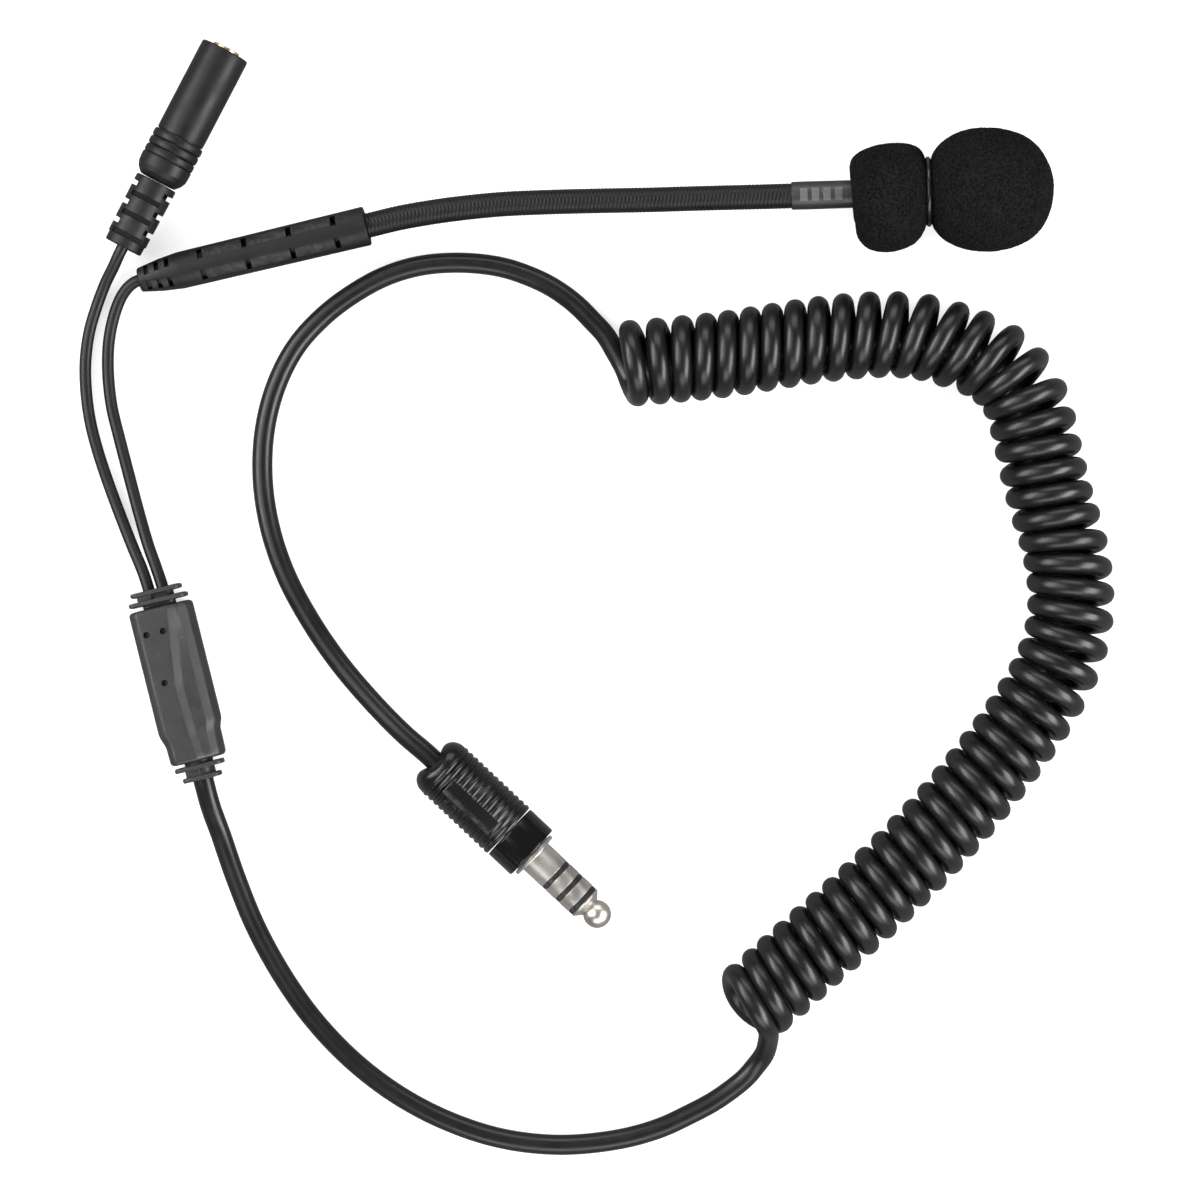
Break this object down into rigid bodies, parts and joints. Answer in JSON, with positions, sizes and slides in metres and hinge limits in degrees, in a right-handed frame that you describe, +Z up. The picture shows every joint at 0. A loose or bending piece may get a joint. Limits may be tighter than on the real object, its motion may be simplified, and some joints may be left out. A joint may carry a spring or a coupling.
{
  "type": "boom microphone and earphone lead",
  "caption": "Flexible boom microphone with a foam windscreen, an earphone socket lead, a cord junction and a coiled cord ending in a telephone plug.",
  "frame": {"origin": "on the surface that the set lies on, under the middle of the boom microphone's box (handle, boom, microphone and windscreen, without the leads and what is on them)", "axes": "+X along the boom from the handle towards the microphone, +Z up, +Y across the boom on the side away from the coiled cord"},
  "size_m": [0.2069, 0.2229, 0.0248],
  "materials": {
    "black_moulding": "fine spark-eroded grain, matt",
    "boom_jacket": "matt sleeve with fine cross ribs",
    "soft_rubber": "matt",
    "connector_rubber": "satin",
    "plug_plastic": "glossy, lightly scuffed",
    "windscreen_foam": "open-cell foam",
    "nickel_plating": "bright nickel with fine scuffs",
    "gold_plating": "polished gold plate",
    "brass_crimp": "plain",
    "contact_insulation": "satin moulded insulation",
    "circuit_board": "green lacquer",
    "thin_lead_jacket": "satin jacket",
    "main_lead_jacket": "satin jacket"
  },
  "bodies": {
    "lead_set": {"boom_handle": "black_moulding", "boom_root_ferrule": "boom_jacket", "coil_cord": "main_lead_jacket", "handle_lead_crimp": "brass_crimp", "junction_body": "black_moulding", "junction_bottom_relief": "black_moulding", "junction_top_relief": "black_moulding", "main_lead_lower": "main_lead_jacket", "main_lead_upper": "main_lead_jacket", "mic_lead": "thin_lead_jacket", "phone_lead": "thin_lead_jacket", "plug_cable_clamp": "brass_crimp", "plug_collar": "plug_plastic", "plug_grip": "plug_plastic", "plug_insulator_1": "contact_insulation", "plug_insulator_2": "contact_insulation", "plug_insulator_3": "contact_insulation", "plug_ring_contact_1": "nickel_plating", "plug_ring_contact_2": "nickel_plating", "plug_sleeve_contact": "nickel_plating", "plug_terminal_block": "contact_insulation", "plug_tip_contact": "nickel_plating", "socket_barrel": "connector_rubber", "socket_insulator": "contact_insulation", "socket_nose": "gold_plating", "socket_ring_contact": "gold_plating", "socket_strain_relief": "connector_rubber", "socket_tip_contact": "gold_plating", "splice_board": "circuit_board", "splice_crimp_1": "brass_crimp", "splice_crimp_2": "brass_crimp", "splice_crimp_3": "brass_crimp"},
    "link_1": {"boom_link_1": "boom_jacket"},
    "link_2": {"boom_link_2": "boom_jacket"},
    "link_3": {"boom_link_3": "boom_jacket"},
    "link_4": {"boom_link_4": "boom_jacket"},
    "link_5": {"boom_link_5": "boom_jacket"},
    "link_6": {"boom_link_6": "boom_jacket"},
    "link_7": {"boom_link_7": "boom_jacket"},
    "microphone": {"mic_stem": "black_moulding", "mic_marking_sleeve": "soft_rubber", "mic_housing_back": "black_moulding", "mic_housing_front": "black_moulding", "mic_element": "nickel_plating", "mic_amplifier_board": "circuit_board"},
    "windscreen": {"foam_windscreen": "windscreen_foam", "windscreen_ring": "soft_rubber"}
  },
  "joints": [
    {"name": "boom_yaw_1", "type": "hinge", "parent": "lead_set", "child": "link_1", "pos_m": [-0.04036, -0.00212, 0.00609], "axis": [-0.0519, -0.0088, 0.9986], "range_deg": [0, 20]},
    {"name": "boom_pitch_1", "type": "hinge", "parent": "link_1", "child": "link_2", "pos_m": [-0.02997, -0.00037, 0.00665], "axis": [0.1027, -0.9947, 0], "range_deg": [0, 20]},
    {"name": "boom_yaw_2", "type": "hinge", "parent": "link_2", "child": "link_3", "pos_m": [-0.01949, 0.00072, 0.00721], "axis": [-0.0533, -0.0022, 0.9986], "range_deg": [0, 20]},
    {"name": "boom_pitch_2", "type": "hinge", "parent": "link_3", "child": "link_4", "pos_m": [-0.00897, 0.00115, 0.00777], "axis": [0.0198, -0.9998, 0], "range_deg": [0, 20]},
    {"name": "boom_yaw_3", "type": "hinge", "parent": "link_4", "child": "link_5", "pos_m": [0.00156, 0.00136, 0.00834], "axis": [-0.0534, -0.0008, 0.9986], "range_deg": [0, 20]},
    {"name": "boom_pitch_3", "type": "hinge", "parent": "link_5", "child": "link_6", "pos_m": [0.0121, 0.00153, 0.0089], "axis": [0.025, -0.9997, 0], "range_deg": [0, 20]},
    {"name": "boom_yaw_4", "type": "hinge", "parent": "link_6", "child": "link_7", "pos_m": [0.02263, 0.00179, 0.00946], "axis": [-0.0534, -0.0011, 0.9986], "range_deg": [0, 20]},
    {"name": "boom_pitch_4", "type": "hinge", "parent": "link_7", "child": "microphone", "pos_m": [0.03316, 0.002, 0.01003], "axis": [0.0259, -0.9997, 0], "range_deg": [0, 20]},
    {"name": "windscreen_slide", "type": "slide", "parent": "microphone", "child": "windscreen", "axis": [0.9982, 0.0259, 0.0534], "range_m": [0, 0.042]}
  ],
  "couplings": [
    {"joint": "boom_yaw_2", "follows": "boom_yaw_1", "ratio": 1},
    {"joint": "boom_pitch_2", "follows": "boom_pitch_1", "ratio": 1},
    {"joint": "boom_yaw_3", "follows": "boom_yaw_1", "ratio": 1},
    {"joint": "boom_pitch_3", "follows": "boom_pitch_1", "ratio": 1},
    {"joint": "boom_yaw_4", "follows": "boom_yaw_1", "ratio": 1},
    {"joint": "boom_pitch_4", "follows": "boom_pitch_1", "ratio": 1}
  ]
}
